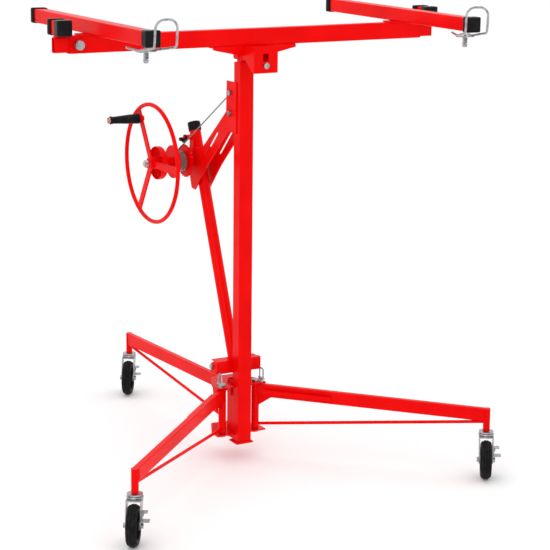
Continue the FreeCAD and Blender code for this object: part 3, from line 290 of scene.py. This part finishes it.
finishes = {"red_paint": powderCoat(), "zinc": zincPlate(), "black_plastic": mouldedPlastic(),
            "black_grip": gripRubber(), "tyre": tyreRubber(), "wheel_core": wheelCore(),
            "nylon": whiteNylon(), "wire_rope": wireRope(), "bare_steel": turnedSteel()}
slotOf = {part["node"]: part["material_slot"] for part in frame["record"]["subparts"]}
for nodeName, shown in nodes.items():
    if not shown.material_slots:
        shown.data.materials.append(None)
    for slot in shown.material_slots:
        slot.material = finishes[slotOf[nodeName]]
print("finishes given to", len(slotOf), "nodes")


sharpAngle = 40  # edges bent more than this stay crisp


def newPiece(name, mesh, body, slotName, standsFor=()):
    bmesh.ops.remove_doubles(mesh, verts=mesh.verts, dist=1e-6)
    bmesh.ops.recalc_face_normals(mesh, faces=mesh.faces)
    for face in mesh.faces:
        face.smooth = True
    data = bpy.data.meshes.new(name)
    mesh.to_mesh(data)
    mesh.free()
    piece = bpy.data.objects.new(name, data)
    bpy.context.scene.collection.objects.link(piece)
    data.materials.append(finishes[slotName])
    data.set_sharp_from_angle(angle=math.radians(sharpAngle))
    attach(piece, body)
    if standsFor:
        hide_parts(*standsFor)
    return piece


def lathe(mesh, profile, centre, axis, steps):  # profile points are radius and place along
    along = Vector(axis).normalized()
    across = along.orthogonal().normalized()
    ring = [mesh.verts.new(Vector(centre) + across * r + along * a) for r, a in profile]
    edges = [mesh.edges.new(pair) for pair in zip(ring, ring[1:] + ring[:1])]
    bmesh.ops.spin(mesh, geom=ring + edges, cent=centre, axis=along, angle=2 * math.pi,
                   steps=steps, use_merge=True)


def coil(mesh, centre, axis, coilRadius, wireRadius, pitch, turns, sides, steps):
    along = Vector(axis).normalized()
    across = along.orthogonal().normalized()
    lie = Matrix((across, along, across.cross(along))).transposed().to_4x4()
    lie.translation = Vector(centre) + across * coilRadius
    made = bmesh.ops.create_circle(mesh, segments=sides, radius=wireRadius, matrix=lie)
    ring = made["verts"]
    edges = list(dict.fromkeys(edge for vert in ring for edge in vert.link_edges))
    count = round(steps * turns)
    bmesh.ops.spin(mesh, geom=ring + edges, cent=centre, axis=along,
                   dvec=along * (pitch / steps), angle=2 * math.pi * turns, steps=count)
    ends = [edge for edge in mesh.edges if edge.is_boundary]
    bmesh.ops.holes_fill(mesh, edges=ends)


def dressCasters():  # crowned tyres with three running grooves
    tyre = {"radius": 0.060, "edge": 0.052, "rim": 0.0472, "half": 0.016, "seat": 0.014,
            "shoulder": 0.0145, "band": 0.012, "wallDrop": 0.001,
            "grooves": (-0.0085, 0.0, 0.0085), "grooveHalf": 0.0011, "grooveDepth": 0.0016,
            "mouthShare": 1.6, "floorShare": 0.6, "steps": 72}
    bow = (tyre["half"] ** 2 + (tyre["radius"] - tyre["edge"]) ** 2) / (
        2 * (tyre["radius"] - tyre["edge"]))

    def crown(along):
        return tyre["radius"] - bow + math.sqrt(bow * bow - along * along)

    for side in ("left", "right", "rear"):
        joint = joints[side + "_wheel_roll"]
        wall = tyre["edge"] - tyre["wallDrop"]
        profile = [(tyre["rim"], -tyre["seat"]), (wall, -tyre["half"]),
                   (crown(-tyre["shoulder"]), -tyre["shoulder"]),
                   (crown(-tyre["band"]), -tyre["band"])]
        mouth = tyre["grooveHalf"] * tyre["mouthShare"]
        floor = tyre["grooveHalf"] * tyre["floorShare"]
        for groove in tyre["grooves"]:
            bottom = crown(groove) - tyre["grooveDepth"]
            profile += [(crown(groove - mouth), groove - mouth), (bottom, groove - floor),
                        (bottom, groove + floor), (crown(groove + mouth), groove + mouth)]
        profile += [(crown(tyre["band"]), tyre["band"]),
                    (crown(tyre["shoulder"]), tyre["shoulder"]),
                    (wall, tyre["half"]), (tyre["rim"], tyre["seat"])]
        mesh = bmesh.new()
        lathe(mesh, profile, Vector(joint["pos_m"]), joint["axis"], tyre["steps"])
        newPiece(side + "GroovedTyre", mesh, side + "_wheel", "tyre",
                 (side + "_caster_tyre",))
    print("casters dressed")


def windDrum():  # the rope's turns lie side by side on the drum
    winding = {"rope": 0.002, "pitch": 0.0042, "turns": 6.7, "sides": 10, "steps": 48}
    low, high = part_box("drum_cable_turns")
    middle = (low + high) / 2
    radius = (high.z - low.z) / 2 - winding["rope"]
    mesh = bmesh.new()
    coil(mesh, Vector((low.x + winding["rope"], middle.y, middle.z)), (1, 0, 0), radius,
         winding["rope"], winding["pitch"], winding["turns"], winding["sides"],
         winding["steps"])
    newPiece("drumRopeTurns", mesh, "winch", "wire_rope", ("drum_cable_turns",))
    print("drum wound")


def windSprings():  # open coil springs on the hook bolts
    spring = {"outside": 0.008, "wire": 0.0011, "turns": 5.5, "sides": 8, "steps": 24}
    low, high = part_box("hook_springs")
    mesh = bmesh.new()
    for side in ("left", "right"):
        boltPlace = Vector(joints[side + "_hook_swing"]["pos_m"])
        foot = Vector((boltPlace.x, boltPlace.y, low.z + spring["wire"]))
        rise = high.z - low.z - 2 * spring["wire"]
        coil(mesh, foot, (0, 0, 1), spring["outside"] - spring["wire"], spring["wire"],
             rise / spring["turns"], spring["turns"], spring["sides"], spring["steps"])
    newPiece("hookCoilSprings", mesh, "cradle", "zinc", ("hook_springs",))
    print("springs wound")


def roundedCap(mesh, low, high, openWay, cap):  # openWay points out of the cap's open end
    centre = (low + high) / 2
    sides = high - low
    made = bmesh.ops.create_cube(mesh, size=1.0)
    bmesh.ops.scale(mesh, vec=sides, verts=made["verts"])
    bmesh.ops.translate(mesh, vec=centre, verts=made["verts"])
    faces = list(dict.fromkeys(face for vert in made["verts"] for face in vert.link_faces))
    mouth = max(faces, key=lambda face: face.calc_center_median().dot(openWay))
    around = list(mouth.edges)
    everyEdge = dict.fromkeys(edge for vert in made["verts"] for edge in vert.link_edges)
    rounded = [edge for edge in everyEdge if edge not in around]
    bmesh.ops.delete(mesh, geom=[mouth], context="FACES_ONLY")
    bmesh.ops.bevel(mesh, geom=rounded, offset=cap["corner"], offset_type="OFFSET",
                    affect="EDGES", segments=4, profile=0.5, material=-1)


def dressCaps():  # black push-on caps with rounded corners over the tube ends
    cap = {"corner": 0.0045, "wall": 0.0021, "length": 0.028, "outside": 0.045}
    groups = {"armEndCaps": ("cradle", "arm_caps", ("cross_arm_left", "cross_arm_right")),
              "leftHeadEndCaps": ("left_extension_slide", "left_head_caps", ("left_head_caps",)),
              "rightHeadEndCaps": ("right_extension_slide", "right_head_caps",
                                   ("right_head_caps",))}
    capLow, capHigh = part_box("arm_caps")
    for name, (body, node, tubes) in groups.items():
        mesh = bmesh.new()
        near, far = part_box(node)
        for tube in tubes:
            low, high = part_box(tube)
            across = (low.x + high.x) / 2
            for back in (False, True):
                start = far.y - cap["length"] if back else near.y
                lowest = Vector((across - cap["outside"] / 2, start, capLow.z))
                highest = Vector((across + cap["outside"] / 2, start + cap["length"], capHigh.z))
                roundedCap(mesh, lowest, highest, Vector((0, -1 if back else 1, 0)), cap)
        piece = newPiece(name, mesh, body, "black_plastic", (node,))
        wall = piece.modifiers.new("Wall", "SOLIDIFY")
        wall.thickness = cap["wall"]
        wall.offset = -1
    print("tube ends capped")


def layBeads(mesh, start, end, bead):  # overlapping ripples of one weld run
    count = round((end - start).length / bead["step"])
    for ripple in range(count + 1):
        lie = Matrix.Translation(start.lerp(end, ripple / count))
        bmesh.ops.create_uvsphere(mesh, u_segments=8, v_segments=5, radius=bead["radius"],
                                  matrix=lie)


def weldSeams():  # runs beside the mast, on the cradle's saddle and seats, and at the leg posts
    bead = {"radius": 0.0021, "step": 0.0026}
    plates = {"across": 0.0242, "along": -0.0006, "starts": (1.042, 1.138), "length": 0.045}
    channel = {"across": 0.0240, "along": 0.0200, "low": 0.284, "high": 0.316}
    foot = {"reach": 0.020, "along": -0.0222, "height": 0.0628}
    shelf = {"starts": (-0.124, -0.072, 0.040, 0.092), "length": 0.032, "along": -0.0660,
             "height": 1.3052}
    wings = {"across": 0.0412, "along": -0.0660, "low": 1.281, "high": 1.300}
    seats = {"centres": (-0.517, 0.517), "starts": (-0.040, 0.014), "length": 0.026,
             "along": -0.0657, "height": 1.3562}
    posts = {"inward": 0.0042, "across": 0.0108, "low": 0.177, "high": 0.209, "hub": 0.074}
    sides = (-1, 1)
    baseRuns = [((side * plates["across"], plates["along"], low),
                 (side * plates["across"], plates["along"], low + plates["length"]))
                for side in sides for low in plates["starts"]]
    baseRuns += [((side * channel["across"], channel["along"], channel["low"]),
                  (side * channel["across"], channel["along"], channel["high"]))
                 for side in sides]
    baseRuns += [((-foot["reach"], foot["along"], foot["height"]),
                  (foot["reach"], foot["along"], foot["height"]))]
    cradleRuns = [((start, shelf["along"], shelf["height"]),
                   (start + shelf["length"], shelf["along"], shelf["height"]))
                  for start in shelf["starts"]]
    cradleRuns += [((side * wings["across"], wings["along"], wings["low"]),
                    (side * wings["across"], wings["along"], wings["high"]))
                   for side in sides]
    cradleRuns += [((centre + start, seats["along"], seats["height"]),
                    (centre + start + seats["length"], seats["along"], seats["height"]))
                   for centre in seats["centres"] for start in seats["starts"]]
    for name, body, runs in (("frameWelds", "base", baseRuns),
                             ("cradleWelds", "cradle", cradleRuns)):
        mesh = bmesh.new()
        corner = Vector((mastAxis.x, mastAxis.y, 0))
        for start, end in runs:
            layBeads(mesh, corner + Vector(start), corner + Vector(end), bead)
        newPiece(name, mesh, body, "red_paint")
    for side, body in (("left", "left_leg_arm"), ("right", "right_leg_arm"), ("rear", "base")):
        post = Vector(joints[side + "_caster_swivel"]["pos_m"])
        hub = Vector((mastAxis.x, mastAxis.y + posts["hub"], 0))
        inward = (hub - Vector((post.x, post.y, 0))).normalized()
        across = Vector((-inward.y, inward.x, 0))
        mesh = bmesh.new()
        for edge in sides:
            spot = (Vector((post.x, post.y, 0)) + inward * posts["inward"]
                    + across * (edge * posts["across"]))
            layBeads(mesh, spot + Vector((0, 0, posts["low"])),
                     spot + Vector((0, 0, posts["high"])), bead)
        newPiece(side + "PostWelds", mesh, body, "red_paint")
    print("seams welded")


def capSpindle():  # plated screw head over the outer end of the crank grip's spindle
    screw = {"radius": 0.0098, "dome": 0.0022, "skirt": 0.0042, "steps": 40}
    joint = joints["grip_spin"]
    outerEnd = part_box("handwheel")[0].x
    at = Vector((outerEnd, joint["pos_m"][1], joint["pos_m"][2]))
    radius = screw["radius"]
    profile = [(0.0, -0.0006), (radius * 0.5, -0.0002), (radius * 0.85, 0.0008),
               (radius, screw["dome"]), (radius, screw["skirt"]), (0.0, screw["skirt"])]
    mesh = bmesh.new()
    ring = [mesh.verts.new(at + Vector((along, r, 0))) for r, along in profile]
    edges = [mesh.edges.new(pair) for pair in zip(ring, ring[1:])]
    bmesh.ops.spin(mesh, geom=ring + edges, cent=at, axis=(1, 0, 0), angle=2 * math.pi,
                   steps=screw["steps"], use_merge=True)
    newPiece("gripScrewHead", mesh, "winch", "zinc")
    print("grip screw set")


dressCasters()
windDrum()
windSprings()
dressCaps()
weldSeams()
capSpindle()


def layFloor():
    floor = {"size": 60.0, "tone": (0.985, 0.985, 0.985, 1), "shade": (0.955, 0.955, 0.96, 1)}
    mesh = bmesh.new()
    bmesh.ops.create_grid(mesh, x_segments=1, y_segments=1, size=floor["size"] / 2)
    data = bpy.data.meshes.new("studioFloor")
    mesh.to_mesh(data)
    mesh.free()
    ground = bpy.data.objects.new("studioFloor", data)
    bpy.context.scene.collection.objects.link(ground)
    paper = Finish("studioPaper")
    clouds = paper.noise(paper.place(), 0.6, 2.0)
    paper.drive("Base Color", paper.mix(clouds, floor["shade"], floor["tone"]))
    paper.drive("Roughness", paper.spread(clouds, 0.3, 0.7, 0.75, 0.9))
    data.materials.append(paper.material)
    return ground


def lightStudio():
    lamps = {"key": ((-3.0, -3.2, 2.8), 26.0, 1.6), "top": ((0.4, 0.6, 4.2), 12.0, 2.5)}
    aim = Vector((0, 0, 0.75))
    for name, (place, power, size) in lamps.items():
        light = bpy.data.lights.new(name + "Light", "AREA")
        light.energy = power
        light.size = size
        lamp = bpy.data.objects.new(name + "Light", light)
        lamp.location = place
        lamp.rotation_euler = (aim - Vector(place)).to_track_quat("-Z", "Y").to_euler()
        bpy.context.scene.collection.objects.link(lamp)
    world = bpy.data.worlds.new("studioWorld")
    bpy.context.scene.world = world
    world.use_nodes = True
    world.node_tree.nodes["Background"].inputs["Color"].default_value = (1, 1, 1, 1)
    world.node_tree.nodes["Background"].inputs["Strength"].default_value = 1.04


def placeCamera():
    view = {"fromMast": (-2.5823, -4.7404, 1.8530), "yaw": -29.64, "down": 13.11, "roll": 0.62,
            "lens": 117.8}
    data = bpy.data.cameras.new("mainCamera")
    data.lens = view["lens"]
    data.sensor_width = 36
    camera = bpy.data.objects.new("mainCamera", data)
    turn = (Matrix.Rotation(math.radians(view["yaw"]), 4, "Z")
            @ Matrix.Rotation(math.radians(90 - view["down"]), 4, "X")
            @ Matrix.Rotation(math.radians(view["roll"]), 4, "Z"))
    turn.translation = Vector((mastAxis.x, mastAxis.y, 0)) + Vector(view["fromMast"])
    camera.matrix_world = turn
    bpy.context.scene.collection.objects.link(camera)
    bpy.context.scene.camera = camera


layFloor()
lightStudio()
placeCamera()
bpy.context.scene.view_settings.view_transform = "Standard"
print("studio set")
